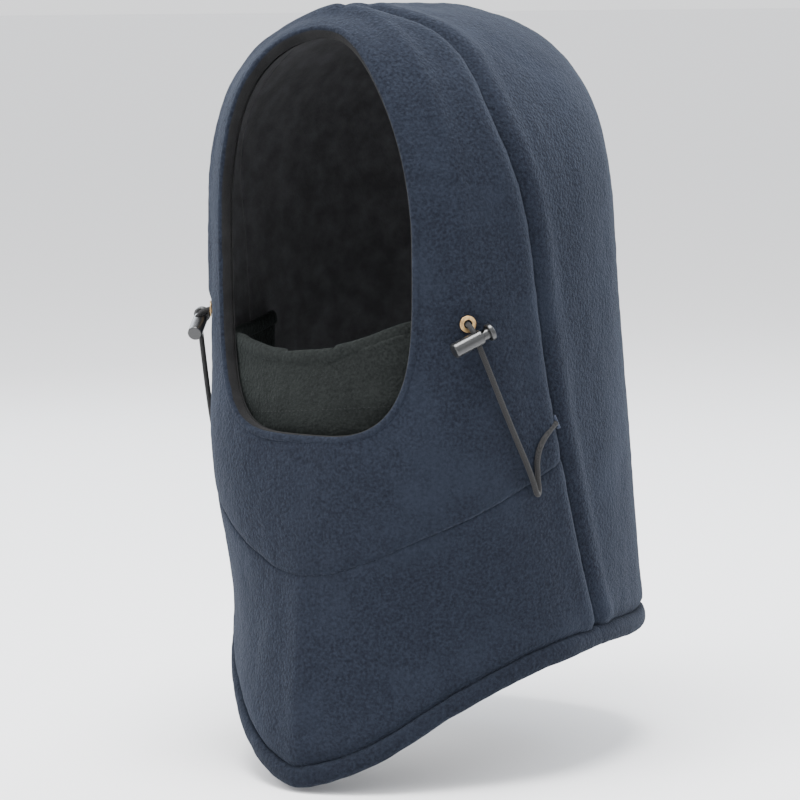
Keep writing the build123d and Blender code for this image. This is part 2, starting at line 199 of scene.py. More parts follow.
def on_face(points, inset=0.0, drop=0.0):
    """Each point moved out or in, away from the hood's spine, onto its face."""
    points = np.asarray(points, float)
    spine = np.zeros_like(points)
    spine[..., 1] = WIDEST_LINE
    spine[..., 2] = np.minimum(points[..., 2], SPINE_TOP)
    way = points - spine
    way /= np.maximum(np.linalg.norm(way, axis=-1, keepdims=True), 1e-9)
    low = np.zeros(points.shape[:-1])
    high = np.full(points.shape[:-1], 240.0)
    for _ in range(34):
        middle = (low + high) / 2
        outside = level(spine + way * middle[..., None], inset, drop) > 0
        high = np.where(outside, middle, high)
        low = np.where(outside, low, middle)
    return spine + way * low[..., None]


def face_normals(points, inset=0.0, drop=0.0):
    step = 0.05
    slopes = []
    for axis in range(3):
        move = np.zeros(3)
        move[axis] = step
        slopes.append(level(points + move, inset, drop) - level(points - move, inset, drop))
    normals = np.stack(slopes, -1)
    return normals / np.maximum(np.linalg.norm(normals, axis=-1, keepdims=True), 1e-12)


# ---- Curves on the hood ----------------------------------------------------------------------
def smooth_curve(points, steps=60):
    """Points along a smooth curve that passes through each given point."""
    points = np.asarray(points, float)
    ends = np.vstack([2 * points[0] - points[1], points, 2 * points[-1] - points[-2]])
    share = np.linspace(0, 1, steps, endpoint=False)[:, None]
    spans = []
    for a, b, c, d in zip(ends, ends[1:], ends[2:], ends[3:]):
        third = -a + 3 * b - 3 * c + d
        second = 2 * a - 5 * b + 4 * c - d
        spans.append(0.5 * (2 * b + (c - a) * share + second * share ** 2 + third * share ** 3))
    return np.vstack(spans + [points[-1:]])


def even(points, count):
    """The same curve with evenly spaced points."""
    points = np.asarray(points, float)
    lengths = np.r_[0, np.cumsum(np.linalg.norm(np.diff(points, axis=0), axis=1))]
    where = np.linspace(0, lengths[-1], count)
    return np.stack([np.interp(where, lengths, points[:, axis]) for axis in range(points.shape[1])], 1)


def side_x(y, z):
    """Half width of the hood's face at each (y, z)."""
    side, front, back = reaches(z)
    ahead = y < WIDEST_LINE
    depth = np.where(ahead, front + WIDEST_LINE, back - WIDEST_LINE)
    power = np.where(ahead, front_power(z), BACK_SQUARENESS)
    share = np.abs(y - WIDEST_LINE) / np.maximum(depth, 1e-6)
    return side * np.maximum(1 - share ** power, 0) ** (1 / power)


def lift(view_curve, count):
    """A side-view curve laid on the hood's left face, with evenly spaced points."""
    fine = even(view_curve, 6000)
    x = side_x(fine[:, 0], fine[:, 1])
    keep = x > 0
    first = np.argmax(keep)
    last = len(keep) - np.argmax(keep[::-1])
    lifted = np.stack([x, fine[:, 0], fine[:, 1]], 1)[first:last]
    return even(lifted, count)


seam_view = smooth_curve(SIDE_SEAM)
bib_view = smooth_curve(BIB_SEAM)
hem_view = smooth_curve(HEM_EDGE)
hem_top_view = hem_view + np.array([0, HEM_HEIGHT])


def seam_y(z):
    return np.interp(-z, -seam_view[:, 1], seam_view[:, 0])


def split_at_seam(curve):
    """The part of a curve ahead of the side seam, and the part behind it."""
    behind = curve[:, 1] > seam_y(curve[:, 2])
    cut = int(np.argmax(behind))
    return curve[: cut + 1], curve[cut:]


FINE = 1200
seam_fine = lift(seam_view, FINE)
seam_fine[0, 0] = 0.0
bib_fine, _ = split_at_seam(lift(bib_view, FINE))
hem_top_front, hem_top_back = split_at_seam(lift(hem_top_view, FINE))
hem_front, hem_back = split_at_seam(lift(hem_view, FINE))
for curve in (bib_fine, hem_top_front, hem_front):
    curve[0, 0] = 0.0
for curve in (hem_top_back, hem_back):
    curve[-1, 0] = 0.0
bib_join = int(np.argmin(np.linalg.norm(seam_fine - bib_fine[-1], axis=1)))
hem_join = int(np.argmin(np.linalg.norm(seam_fine - hem_top_front[-1], axis=1)))
seam_upper = seam_fine[: bib_join + 1]
seam_lower = seam_fine[bib_join : hem_join + 1]
seam_all = seam_fine[: hem_join + 1]


def centre_back_curve(count):
    """From the crown seam back over the head and down to the hem, in the middle plane."""
    start = seam_fine[0]
    middle = np.array([0, WIDEST_LINE, SPINE_TOP])
    first_angle = math.atan2(start[2] - SPINE_TOP, start[1] - WIDEST_LINE)
    angles = np.linspace(first_angle, 0, 300)
    over = np.stack([0 * angles, middle[1] + 100 * np.cos(angles), middle[2] + 100 * np.sin(angles)], 1)
    heights = np.linspace(SPINE_TOP, hem_top_back[-1, 2], 300)[1:]
    down = np.stack([0 * heights, 0 * heights + 100, heights], 1)
    curve = on_face(np.vstack([over, down]))
    curve[:, 0] = 0
    curve[0] = start
    curve[-1] = hem_top_back[-1]
    return even(curve, count)


def opening_rim(count):
    """Left half of the face opening's rim, from its top to its bottom."""
    angles = np.linspace(0, math.pi, FINE)
    up = np.cos(angles)
    power = np.where(up > 0, 2 / OPENING_SQUARENESS[0], 2 / OPENING_SQUARENESS[1])
    height = np.where(up > 0, OPENING_UP, OPENING_DOWN)
    x = OPENING_HALF_WIDTH * np.abs(np.sin(angles)) ** power
    z = OPENING_MIDDLE + height * np.sign(up) * np.abs(up) ** power
    side, front, _ = reaches(z)
    flat = np.maximum(1 - (x / side) ** front_power(z), 0) ** (1 / front_power(z))
    y = WIDEST_LINE - (front + WIDEST_LINE) * flat
    return even(np.stack([x, y, z], 1), count)


rim_half = opening_rim(FINE)
centre_back = centre_back_curve(FINE)


def mirrored(points):
    return points * np.array([-1, 1, 1])


def closest(points, curve):
    """Distance from each point to a polyline's points."""
    tree = KDTree(len(curve))
    for index, point in enumerate(curve.tolist()):
        tree.insert(point, index)
    tree.balance()
    gaps = [tree.find(point)[2] for point in points.reshape(-1, 3).tolist()]
    return np.array(gaps).reshape(points.shape[:-1])


def wander(points, size, seed):
    """Smooth noise from -1 to 1 over lumps of one size."""
    flat = points.reshape(-1, 3) / size
    shift = Vector((seed * 13.1, seed * 7.7, seed * 3.3))
    values = [noise.noise(Vector(point) + shift) for point in flat]
    return np.array(values).reshape(points.shape[:-1])


# ---- Fleece surface: rolled seam edges, the cord channel, soft folds -------------------------
seam_lines = {
    "side": np.vstack([even(seam_all, 220), mirrored(even(seam_all, 220))]),
    "bib": np.vstack([even(bib_fine, 110), mirrored(even(bib_fine, 110))]),
    "back": even(centre_back, 220),
    "hem": np.vstack([even(c, 110) for c in (hem_top_front, hem_top_back)]),
}
seam_lines["hem"] = np.vstack([seam_lines["hem"], mirrored(seam_lines["hem"])])
rim_line = np.vstack([even(rim_half, 260), mirrored(even(rim_half, 260))])
channel_line = on_face(even(smooth_curve(CHANNEL), 150))
channel_line = np.vstack([channel_line, mirrored(channel_line)])

# Valley depth, valley width and swell beside it, for each seam.
SEAM_SHAPES = {
    "side": (2.9, 3.0, 1.6),
    "bib": (0.9, 1.5, 0.15),
    "back": (2.3, 2.4, 1.0),
    "hem": (2.2, 2.2, 0.5),
}
# Depth or height, and width, of the other reliefs.
RIM_DIP = (1.3, 1.6)
CHANNEL_RIDGE = (1.7, 5.0)
BIB_RIDGE = (0.8, 6.0)
BIB_HOLLOWS = (0.35, 6.0)
BIB_HOLLOW_OFFSET = 13
EYELET_PRESS = (0.35, 7.5)
EYELET = np.array([[82.0, -65.0, -149.0], [-82.0, -65.0, -149.0]])


def bell(gap, height, width):
    """A soft ridge of a height and width, at each distance from its middle."""
    return height * np.exp(-((gap / width) ** 2))


def seam_profile(gap, depth, width, swell):
    """Height of fleece beside a seam: a valley between two soft rolls."""
    return bell(gap - 8.5, swell, 6.0) - bell(gap, depth, width)


def fleece_height(points):
    """How far the fleece stands out of the plain face at each point, in millimetres."""
    height = np.zeros(points.shape[:-1])
    for name, line in seam_lines.items():
        height = height + seam_profile(closest(points, line), *SEAM_SHAPES[name])
    height -= bell(closest(points, rim_line), *RIM_DIP)
    height += bell(closest(points, channel_line), *CHANNEL_RIDGE)
    x, y, z = points[..., 0], points[..., 1], points[..., 2]
    bib = ease((-262 - z) / 30) * (y < 0)
    height += bib * (bell(x, *BIB_RIDGE) - bell(np.abs(x) - BIB_HOLLOW_OFFSET, *BIB_HOLLOWS))
    stretched = points * np.array([1.0, 1.0, 0.45])
    height += 0.9 * wander(stretched, 34.0, 1) + 0.45 * wander(stretched, 15.0, 2)
    height += 0.22 * wander(points, 5.5, 3)
    depth, width = EYELET_PRESS
    pressed = np.exp(-((closest(points, EYELET) / width) ** 4))
    return height * (1 - pressed) - depth * pressed


# ---- Meshes ----------------------------------------------------------------------------------
def new_piece(name, points, faces, body, material):
    mesh = bpy.data.meshes.new(name)
    mesh.from_pydata((np.asarray(points).reshape(-1, 3) * MM).tolist(), [], faces)
    mesh.validate()
    mesh.update()
    piece = bpy.data.objects.new(name, mesh)
    bpy.context.scene.collection.objects.link(piece)
    mesh.polygons.foreach_set("use_smooth", [True] * len(mesh.polygons))
    mesh.materials.append(material)
    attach(piece, body)
    return piece


def grid_faces(rows, columns, closed_rows=False, closed_columns=False, flip=False):
    faces = []
    for row in range(rows if closed_rows else rows - 1):
        for column in range(columns if closed_columns else columns - 1):
            next_row = (row + 1) % rows
            next_column = (column + 1) % columns
            face = (
                row * columns + column,
                row * columns + next_column,
                next_row * columns + next_column,
                next_row * columns + column,
            )
            faces.append(face[::-1] if flip else face)
    return faces


def patch(left, right, top, bottom):
    """Points between four curves, before they are laid on the face."""
    rows, columns = len(left), len(top)
    down = np.linspace(0, 1, rows)[:, None, None]
    across = np.linspace(0, 1, columns)[None, :, None]
    sides = (1 - across) * left[:, None] + across * right[:, None]
    ends = (1 - down) * top[None] + down * bottom[None]
    corners = (1 - down) * ((1 - across) * top[0] + across * top[-1])
    corners = corners + down * ((1 - across) * bottom[0] + across * bottom[-1])
    return sides + ends - corners


def thick_grid(name, upper, under, body, material, flip=False, closed=False):
    """A mesh between two grids of points, closed along its edges."""
    rows, columns = upper.shape[:2]
    count = rows * columns
    outside = grid_faces(rows, columns, closed_columns=closed, flip=flip)
    inside = [tuple(count + corner for corner in corners[::-1]) for corners in outside]
    faces = outside + inside + edge_faces(rows, columns, count, closed, flip)
    points = np.vstack([upper.reshape(-1, 3), under.reshape(-1, 3)])
    return new_piece(name, points, faces, body, material)


def ply(name, points, body, material, outer, thickness, height, flip=False, closed=False):
    """A cloth ply: a grid of points on the hood's face, given a thickness inwards."""
    face = on_face(points, outer)
    normals = face_normals(face, outer)
    lifted = face + normals * height[..., None]
    under = face - normals * thickness
    return thick_grid(name, lifted, under, body, material, flip, closed)


def edge_faces(rows, columns, count, closed, flip):
    """Faces that close a ply between its outer and inner grids."""
    loops = []
    first_row = list(range(columns))
    last_row = list(range((rows - 1) * columns, rows * columns))
    if closed:
        loops.append(first_row + [first_row[0]])
        loops.append((last_row + [last_row[0]])[::-1])
    else:
        right = [row * columns + columns - 1 for row in range(rows)]
        left = [row * columns for row in range(rows)]
        loops.append(first_row + right[1:] + last_row[::-1][1:] + left[::-1][1:])
    faces = []
    for loop in loops:
        for a, b in zip(loop, loop[1:]):
            face = (a, a + count, b + count, b)
            faces.append(face[::-1] if flip else face)
    return faces


def roll(name, centres, across, out, half_width, half_depth, body, material, closed, steps=18):
    """A soft roll along a line: across and out are unit vectors at each of its points."""
    angles = np.linspace(0, 2 * math.pi, steps, endpoint=False)
    flat = 2 / 2.5
    wide = np.sign(np.cos(angles)) * np.abs(np.cos(angles)) ** flat
    deep = np.sign(np.sin(angles)) * np.abs(np.sin(angles)) ** flat
    half_width = np.broadcast_to(half_width, len(centres))[:, None, None]
    half_depth = np.broadcast_to(half_depth, len(centres))[:, None, None]
    points = centres[:, None] + across[:, None] * wide[None, :, None] * half_width
    points = points + out[:, None] * deep[None, :, None] * half_depth
    faces = grid_faces(len(centres), steps, closed_rows=closed, closed_columns=True)
    if not closed:
        faces.append(tuple(range(steps))[::-1])
        faces.append(tuple(range((len(centres) - 1) * steps, len(centres) * steps)))
    return new_piece(name, points, faces, body, material)


def unit(vectors):
    return vectors / np.maximum(np.linalg.norm(vectors, axis=-1, keepdims=True), 1e-12)


# ---- Materials -------------------------------------------------------------------------------
class Shader:
    """A node-based material with a Principled shader and object coordinates."""

    def __init__(self, name, colour, roughness, **sockets):
        self.material = bpy.data.materials.new(name)
        self.material.use_nodes = True
        self.tree = self.material.node_tree
        self.surface = self.tree.nodes["Principled BSDF"]
        self.surface.inputs["Base Color"].default_value = (*colour, 1)
        self.surface.inputs["Roughness"].default_value = roughness
        for socket, value in sockets.items():
            self.surface.inputs[socket.replace("_", " ")].default_value = value
        self.place = self.tree.nodes.new("ShaderNodeTexCoord").outputs["Object"]
        self.bump = None

    def link(self, source, target):
        self.tree.links.new(source, target)

    def noise(self, size, detail=3.0, rough=0.55, stretch=(1, 1, 1)):
        """Noise with lumps of a size in millimetres."""
        mapping = self.tree.nodes.new("ShaderNodeMapping")
        mapping.inputs["Scale"].default_value = stretch
        node = self.tree.nodes.new("ShaderNodeTexNoise")
        node.inputs["Scale"].default_value = 1000 / size
        node.inputs["Detail"].default_value = detail
        node.inputs["Roughness"].default_value = rough
        self.link(self.place, mapping.inputs["Vector"])
        self.link(mapping.outputs["Vector"], node.inputs["Vector"])
        return node.outputs["Fac"]

    def pills(self, size):
        node = self.tree.nodes.new("ShaderNodeTexVoronoi")
        node.feature = "SMOOTH_F1"
        node.inputs["Scale"].default_value = 1000 / size
        node.inputs["Smoothness"].default_value = 0.6
        self.link(self.place, node.inputs["Vector"])
        return node.outputs["Distance"]

    def ramp(self, value, low, high):
        node = self.tree.nodes.new("ShaderNodeMapRange")
        node.inputs["From Min"].default_value = low
        node.inputs["From Max"].default_value = high
        self.link(value, node.inputs["Value"])
        return node.outputs["Result"]

    def blend(self, share, first, second, mode="MIX"):
        node = self.tree.nodes.new("ShaderNodeMix")
        node.data_type = "RGBA"
        node.blend_type = mode
        for socket, value in ((node.inputs["A"], first), (node.inputs["B"], second)):
            if isinstance(value, tuple):
                socket.default_value = (*value, 1)
            else:
                self.link(value, socket)
        self.link(share, node.inputs["Factor"])
        return node.outputs["Result"]

    def add_bump(self, height, millimetres, strength=1.0, invert=False):
        node = self.tree.nodes.new("ShaderNodeBump")
        node.invert = invert
        node.inputs["Strength"].default_value = strength
        node.inputs["Distance"].default_value = millimetres * MM
        self.link(height, node.inputs["Height"])
        if self.bump is not None:
            self.link(self.bump, node.inputs["Normal"])
        self.bump = node.outputs["Normal"]
        self.link(self.bump, self.surface.inputs["Normal"])

    def colour(self, output):
        self.link(output, self.surface.inputs["Base Color"])

    def rough(self, value, low, high):
        node = self.tree.nodes.new("ShaderNodeMapRange")
        node.inputs["To Min"].default_value = low
        node.inputs["To Max"].default_value = high
        self.link(value, node.inputs["Value"])
        self.link(node.outputs["Result"], self.surface.inputs["Roughness"])


def fleece(name, dark, light, sheen, sheen_tint=(0.62, 0.74, 1.0)):
    """Polar fleece: pilled lumps about a millimetre across, a fine nap and a soft sheen."""
    shader = Shader(name, dark, 0.96, Sheen_Weight=sheen, Sheen_Roughness=0.45, Specular_IOR_Level=0.12)
    shader.surface.inputs["Sheen Tint"].default_value = (*sheen_tint, 1)
    nap = shader.noise(1.5, 5, 0.62)
    tufts = shader.noise(3.4, 3, 0.6)
    wear = shader.noise(42, 3, 0.5)
    # The fleece's navy is its own colour, but mixing its dark and light tones by the nap noise, which also
    # drives a bump below, paints shade into the nap: lighter on its tips, darker in its hollows.
    both = shader.blend(shader.ramp(nap, 0.36, 0.66), dark, light)
    worn = tuple(1.12 * channel for channel in light)
    shader.colour(shader.blend(shader.ramp(wear, 0.52, 0.9), both, worn))
    shader.add_bump(tufts, 0.9, 0.55)
    shader.add_bump(shader.pills(1.7), 0.55, 0.6, invert=True)
    shader.add_bump(nap, 0.7, 0.9)
    return shader.material


def knit(name, dark, light, size, roughness=0.9, sheen=0.15):
    """Smooth stretch cloth with a fine knit."""
    shader = Shader(name, dark, roughness, Sheen_Weight=sheen, Sheen_Roughness=0.5, Specular_IOR_Level=0.15)
    fine = shader.noise(size, 3, 0.6, (1, 1, 0.5))
    shader.colour(shader.blend(shader.ramp(shader.noise(11, 4, 0.6), 0.35, 0.75), dark, light))
    shader.add_bump(shader.noise(4.5, 3, 0.6), 0.5, 0.4)
    shader.add_bump(fine, 0.35, 0.8)
    return shader.material


def braided(name, dark, light):
    """Braided cord: crossing strands about a millimetre wide."""
    shader = Shader(name, dark, 0.78, Sheen_Weight=0.06, Sheen_Roughness=0.4, Specular_IOR_Level=0.3)
    waves = []
    for lean in (1, -1):
        mapping = shader.tree.nodes.new("ShaderNodeMapping")
        mapping.inputs["Rotation"].default_value = (0, lean * 0.7, lean * 0.7)
        wave = shader.tree.nodes.new("ShaderNodeTexWave")
        wave.inputs["Scale"].default_value = 620
        wave.inputs["Distortion"].default_value = 0.8
        wave.inputs["Detail Scale"].default_value = 2.0
        shader.link(shader.place, mapping.inputs["Vector"])
        shader.link(mapping.outputs["Vector"], wave.inputs["Vector"])
        waves.append(wave.outputs["Fac"])
    shader.colour(shader.blend(shader.ramp(waves[0], 0.1, 0.9), dark, light))
    shader.add_bump(waves[0], 0.12, 0.6)
    shader.add_bump(waves[1], 0.12, 0.6)
    return shader.material


def plastic(name, colour, roughness):
    shader = Shader(name, colour, roughness, Specular_IOR_Level=0.5, Coat_Weight=0.25, Coat_Roughness=0.25)
    shader.rough(shader.noise(2.2, 4, 0.6), roughness - 0.08, roughness + 0.14)
    shader.add_bump(shader.noise(0.5, 2, 0.5), 0.03, 0.5)
    return shader.material


def metal(name, bright, worn, roughness):
    shader = Shader(name, bright, roughness, Metallic=1.0)
    shader.colour(shader.blend(shader.ramp(shader.noise(1.8, 4, 0.6), 0.42, 0.66), bright, worn))
    shader.rough(shader.noise(0.9, 3, 0.6), roughness - 0.06, roughness + 0.18)
    shader.add_bump(shader.noise(0.5, 3, 0.6), 0.03, 0.6)
    return shader.material


def thread(name, colour):
    shader = Shader(name, colour, 0.8, Sheen_Weight=0.05, Specular_IOR_Level=0.15)
    shader.add_bump(shader.noise(0.35, 2, 0.5, (1, 1, 0.3)), 0.08, 0.8)
    light = tuple(1.5 * channel for channel in colour)
    shader.colour(shader.blend(shader.ramp(shader.noise(0.8, 2, 0.5), 0.3, 0.7), colour, light))
    return shader.material


SHELL_FLEECE = fleece("shell_fleece", (0.0053, 0.0068, 0.0116), (0.0134, 0.0173, 0.0268), 0.06)
# The hem bands use a darker copy of the shell fleece: painted shade on the hem.
SHADED_HEM_FLEECE = fleece("hem_fleece", (0.0050, 0.0064, 0.0108), (0.0118, 0.0153, 0.0238), 0.05)
LINING_CLOTH = knit("lining_cloth", (0.038, 0.038, 0.040), (0.066, 0.066, 0.071), 0.9, 0.95, 0.06)
MASK_CLOTH = fleece("mask_cloth", (0.0050, 0.0060, 0.0057), (0.0118, 0.0137, 0.0130), 0.04, (0.85, 1.0, 0.98))
CORD_BRAID = braided("cord_braid", (0.006, 0.006, 0.0064), (0.016, 0.0155, 0.016))
LOCK_PLASTIC = plastic("lock_plastic", (0.0085, 0.009, 0.0095), 0.27)
BRASS = metal("antique_brass", (0.62, 0.42, 0.20), (0.28, 0.17, 0.08), 0.32)
STEEL = metal("spring_steel", (0.62, 0.62, 0.64), (0.42, 0.42, 0.44), 0.28)
TACK_THREAD = thread("tack_thread", (0.030, 0.037, 0.056))
STITCH_THREAD = thread("mask_thread", (0.0055, 0.0066, 0.0064))
# A near-black copy of the lining knit, for the facing and the piping inside the face opening: painted shade
# in the opening.
SHADED_PIPING_CLOTH = knit("shaded_piping_cloth", (0.0062, 0.0062, 0.0066), (0.012, 0.012, 0.0125), 0.7, 0.94, 0.03)
ELASTIC = knit("elastic_web", (0.030, 0.030, 0.034), (0.05, 0.05, 0.055), 0.7)

# ---- Camera, at the viewing angle of the reference view --------------------------------------
VIEW_ANGLE = math.radians(36.65)
VIEW_RISE = math.radians(7.44)
VIEW_ROLL = math.radians(0.98)
VIEW_DISTANCE = 1.7
VIEW_CENTRE = Vector((0, 0, -0.195))
AIM_LEFT = 0.0070
AIM_DOWN = 0.0043
SENSOR = 36.0
LENS = 145.6


def add_camera():
    back = Vector(
        (
            math.sin(VIEW_ANGLE) * math.cos(VIEW_RISE),
            -math.cos(VIEW_ANGLE) * math.cos(VIEW_RISE),
            math.sin(VIEW_RISE),
        )
    )
    level_right = Vector((math.cos(VIEW_ANGLE), math.sin(VIEW_ANGLE), 0))
    level_up = back.cross(level_right)
    right = level_right * math.cos(VIEW_ROLL) - level_up * math.sin(VIEW_ROLL)
    up = level_right * math.sin(VIEW_ROLL) + level_up * math.cos(VIEW_ROLL)
    data = bpy.data.cameras.new("camera")
    data.lens = LENS
    data.sensor_width = SENSOR
    camera = bpy.data.objects.new("camera", data)
    place = VIEW_CENTRE - level_right * AIM_LEFT - level_up * AIM_DOWN + back * VIEW_DISTANCE
    turn = Matrix((right, up, back)).transposed().to_4x4()
    camera.matrix_world = Matrix.Translation(place) @ turn
    bpy.context.scene.collection.objects.link(camera)
    bpy.context.scene.camera = camera


add_camera()


# ---- Cord lock springs -----------------------------------------------------------------------
def add_spring(side):
    """A copy of the CAD spring."""
    joint = next(joint for joint in frame["joints"] if joint["name"] == f"plunger_{side}_press")
    press = unit(np.array(joint["axis"]))
    mesh = frame["nodes"][f"cord_lock_spring_{side}"].data.copy()
    mesh.materials.clear()
    mesh.materials.append(STEEL)
    points = np.array([vertex.co for vertex in mesh.vertices])
    depths = points @ press
    spring = bpy.data.objects.new(f"wound_spring_{side}", mesh)
    bpy.context.scene.collection.objects.link(spring)
    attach(spring, f"cord_lock_{side}")
    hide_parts(f"cord_lock_spring_{side}")
    anchor = points[depths.argmax()]
    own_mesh(spring)


for side_name in SIDES:
    add_spring(side_name)


# ---- Free drawcords --------------------------------------------------------------------------
def nurbs_length(curve_object):
    """Length of a curve's own centreline, read with its bevel off."""
    bevel = curve_object.data.bevel_depth
    curve_object.data.bevel_depth = 0
    bpy.context.view_layer.update()
    evaluated = curve_object.evaluated_get(bpy.context.evaluated_depsgraph_get())
    line = bpy.data.meshes.new_from_object(evaluated)
    points = [vertex.co.copy() for vertex in line.vertices]
    bpy.data.meshes.remove(line)
    curve_object.data.bevel_depth = bevel
    return sum((b - a).length for a, b in zip(points, points[1:]))


def add_cord(side, sign):
    data = bpy.data.curves.new(f"free_drawcord_{side}", "CURVE")
    data.dimensions = "3D"
    spline = data.splines.new("NURBS")
    spline.points.add(len(FREE_CORD) - 1)
    for point, (x, y, z) in zip(spline.points, FREE_CORD):
        point.co = (sign * x * MM, y * MM, z * MM, 1)
        point.radius = MM
    spline.order_u = 3
    spline.use_endpoint_u = True
    spline.resolution_u = 16
    data.bevel_depth = CORD_RADIUS
    data.bevel_resolution = 6
    data.use_fill_caps = True
    data.materials.append(CORD_BRAID)
    cord = bpy.data.objects.new(f"free_drawcord_{side}", data)
    bpy.context.scene.collection.objects.link(cord)
    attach(cord, "hood")
    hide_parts(f"drawcord_{side}")
    nurbs_length(cord)


for side_name, side_sign in SIDES.items():
    add_cord(side_name, side_sign)


# ---- Shell panels ----------------------------------------------------------------------------
def back_points(sign):
    crown = np.repeat(seam_fine[:1], 100, axis=0)
    points = patch(even(seam_all, 190), even(centre_back, 190), crown, even(hem_top_back, 100))
    return points if sign > 0 else mirrored(points)


def annulus_points(rows):
    """Front panel's grid: rows from the opening's rim out to the seams around it."""
    upper, lower = 150, 84
    rim_corner = int(0.73 * FINE)
    inner_half = np.vstack([even(rim_half[: rim_corner + 1], upper), even(rim_half[rim_corner:], lower)[1:]])
    outer_half = np.vstack([even(seam_upper, upper), even(bib_fine[::-1], lower)[1:]])
    rings = []
    for half in (inner_half, outer_half):
        rings.append(np.vstack([half, mirrored(half[::-1])[1:-1]]))
    share = np.linspace(0, 1, rows)[:, None, None]
    return (1 - share) * rings[0][None] + share * rings[1][None]


def bib_points():
    centre = np.linspace(bib_fine[0], hem_top_front[0], 60)
    left = patch(on_face(centre), even(seam_lower, 60), even(bib_fine, 100), even(hem_top_front, 100))
    return np.hstack([mirrored(left[:, ::-1]), left[:, 1:]])


def cloth(piece, flat, area, slot_name, *nodes):
    """Hide the CAD parts that a cloth panel replaces. The width, length and area that it was cut to are not
    used.
    """
    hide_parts(*nodes)


annulus = annulus_points(34)
annulus_height = fleece_height(on_face(annulus))
front = ply("front_shell", annulus, "hood", SHELL_FLEECE, 0, SHELL, annulus_height, closed=True)
cloth(front, (0.31, 0.30), 0.047, "fleece", "front_hood_panel")

bib_grid = bib_points()
bib = ply("bib_shell", bib_grid, "hood", SHELL_FLEECE, 0, SHELL, fleece_height(on_face(bib_grid)))
cloth(bib, (0.31, 0.13), 0.030, "fleece", "bib_panel")

for side_name, side_sign in SIDES.items():
    points = back_points(side_sign)
    height = fleece_height(on_face(points))
    flip = side_sign < 0
    back = ply(f"back_shell_{side_name}", points, "hood", SHELL_FLEECE, 0, SHELL, height, flip=flip)
    cloth(back, (0.21, 0.40), 0.067, "fleece", f"back_panel_{side_name}")

# ---- Lining and facing -----------------------------------------------------------------------
FACING_ROWS = 16


def lining_height(points):
    return 0.5 * wander(points, 30.0, 7) - 0.4


def add_lining(name, points, flip, closed, flat, area, *nodes, material=LINING_CLOTH):
    height = lining_height(points)
    piece = ply(name, points, "hood", material, LINING_INSET, LINING, height, flip=flip, closed=closed)
    cloth(piece, flat, area, "lining", *nodes)


# The facing takes the near-black piping cloth rather than the lining cloth: painted shade inside the face
# opening.
add_lining(
    "facing_cloth",
    annulus[:FACING_ROWS],
    False,
    True,
    (0.19, 0.25),
    0.017,
    "face_opening_facing",
    material=SHADED_PIPING_CLOTH,
)
add_lining("front_lining_cloth", annulus[FACING_ROWS - 1 :], False, True, (0.29, 0.28), 0.025, "front_lining")
add_lining("bib_lining_cloth", bib_grid, False, False, (0.30, 0.12), 0.028, "bib_lining")
for side_name, side_sign in SIDES.items():
    points = back_points(side_sign)[::2, ::2]
    add_lining(
        f"back_lining_cloth_{side_name}",
        points,
        side_sign < 0,
        False,
        (0.20, 0.39),
        0.060,
        f"back_lining_{side_name}",
    )


# ---- Rolled rim of the face opening ----------------------------------------------------------
def full_loop(half):
    return np.vstack([half, mirrored(half[::-1])[1:-1]])


def add_rim(name, material, half_width, half_depth, depth, towards, ripple, seed):
    """One roll around the face opening, at a depth and moved towards its middle."""
    line = on_face(full_loop(even(rim_half, 300)))
    out = face_normals(line)
    along = unit(np.roll(line, -1, 0) - np.roll(line, 1, 0))
    across = unit(np.cross(out, along))
    middle = np.array([0, line[:, 1].min(), OPENING_MIDDLE])
    across *= np.sign(((middle - line) * across).sum(1))[:, None]
    centres = line - out * depth + across * towards
    swell = 1 + ripple * wander(line, 8.0, seed)
    rim = roll(name, centres, across, out, half_width * swell, half_depth * swell, "hood", material, True, 20)


add_rim("opening_rim", SHELL_FLEECE, 2.0, 2.0, 1.75, -1.5, 0.06, 11)
# The piping roll takes the same near-black cloth: painted shade inside the opening's rim.
add_rim("opening_piping", SHADED_PIPING_CLOTH, 1.3, 2.9, 3.8, -0.4, 0.05, 12)


# ---- Hem bands -------------------------------------------------------------------------------
HEM_HALF_DEPTH = 4.5
HEM_OVERLAP = 1.0


def overlapped(line):
    """A line made a little longer at both ends, so that it passes its seams."""
    start = line[0] - unit(line[1] - line[0]) * HEM_OVERLAP
    end = line[-1] + unit(line[-1] - line[-2]) * HEM_OVERLAP
    return np.vstack([start, line, end])


def add_hem(name, edge, top, node):
    """A rolled hem band between its lower edge and its seam, pinched at both ends."""
    edge, top = overlapped(edge), overlapped(top)
    face_edge, face_top = on_face(edge), on_face(top)
    centres = (face_edge + face_top) / 2
    out = unit(face_normals(face_edge) + face_normals(face_top))
    across = unit(face_top - face_edge)
    half_width = np.linalg.norm(face_top - face_edge, axis=1) / 2 + 0.3
    place = np.arange(len(edge)) * np.linalg.norm(np.diff(centres, axis=0), axis=1).mean()
    pinch = bell(place, 1, 2.2) + bell(place[-1] - place, 1, 2.2)
    swell = 1 + 0.06 * wander(centres, 8.0, 21) + 0.05 * wander(centres, 22.0, 22) - 0.10 * pinch
    centres = centres - out * (HEM_HALF_DEPTH - 1.4)
    half_width, half_depth = half_width * swell, HEM_HALF_DEPTH * swell
    piece = roll(name, centres, across, out, half_width, half_depth, "hood", SHADED_HEM_FLEECE, False, 22)
    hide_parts(node)


front_edge, front_top = even(hem_front, 150), even(hem_top_front, 150)
add_hem(
    "front_hem_roll",
    np.vstack([mirrored(front_edge[::-1]), front_edge[1:]]),
    np.vstack([mirrored(front_top[::-1]), front_top[1:]]),
    "front_hem_band",
)
for side_name, side_sign in SIDES.items():
    edge, top = even(hem_back, 150), even(hem_top_back, 150)
    if side_sign < 0:
        edge, top = mirrored(edge), mirrored(top)
    add_hem(f"back_hem_roll_{side_name}", edge, top, f"back_hem_band_{side_name}")


# ---- Inner mask ------------------------------------------------------------------------------
def mask_face(points, inset):
    return on_face(points, inset, MASK_DROP)


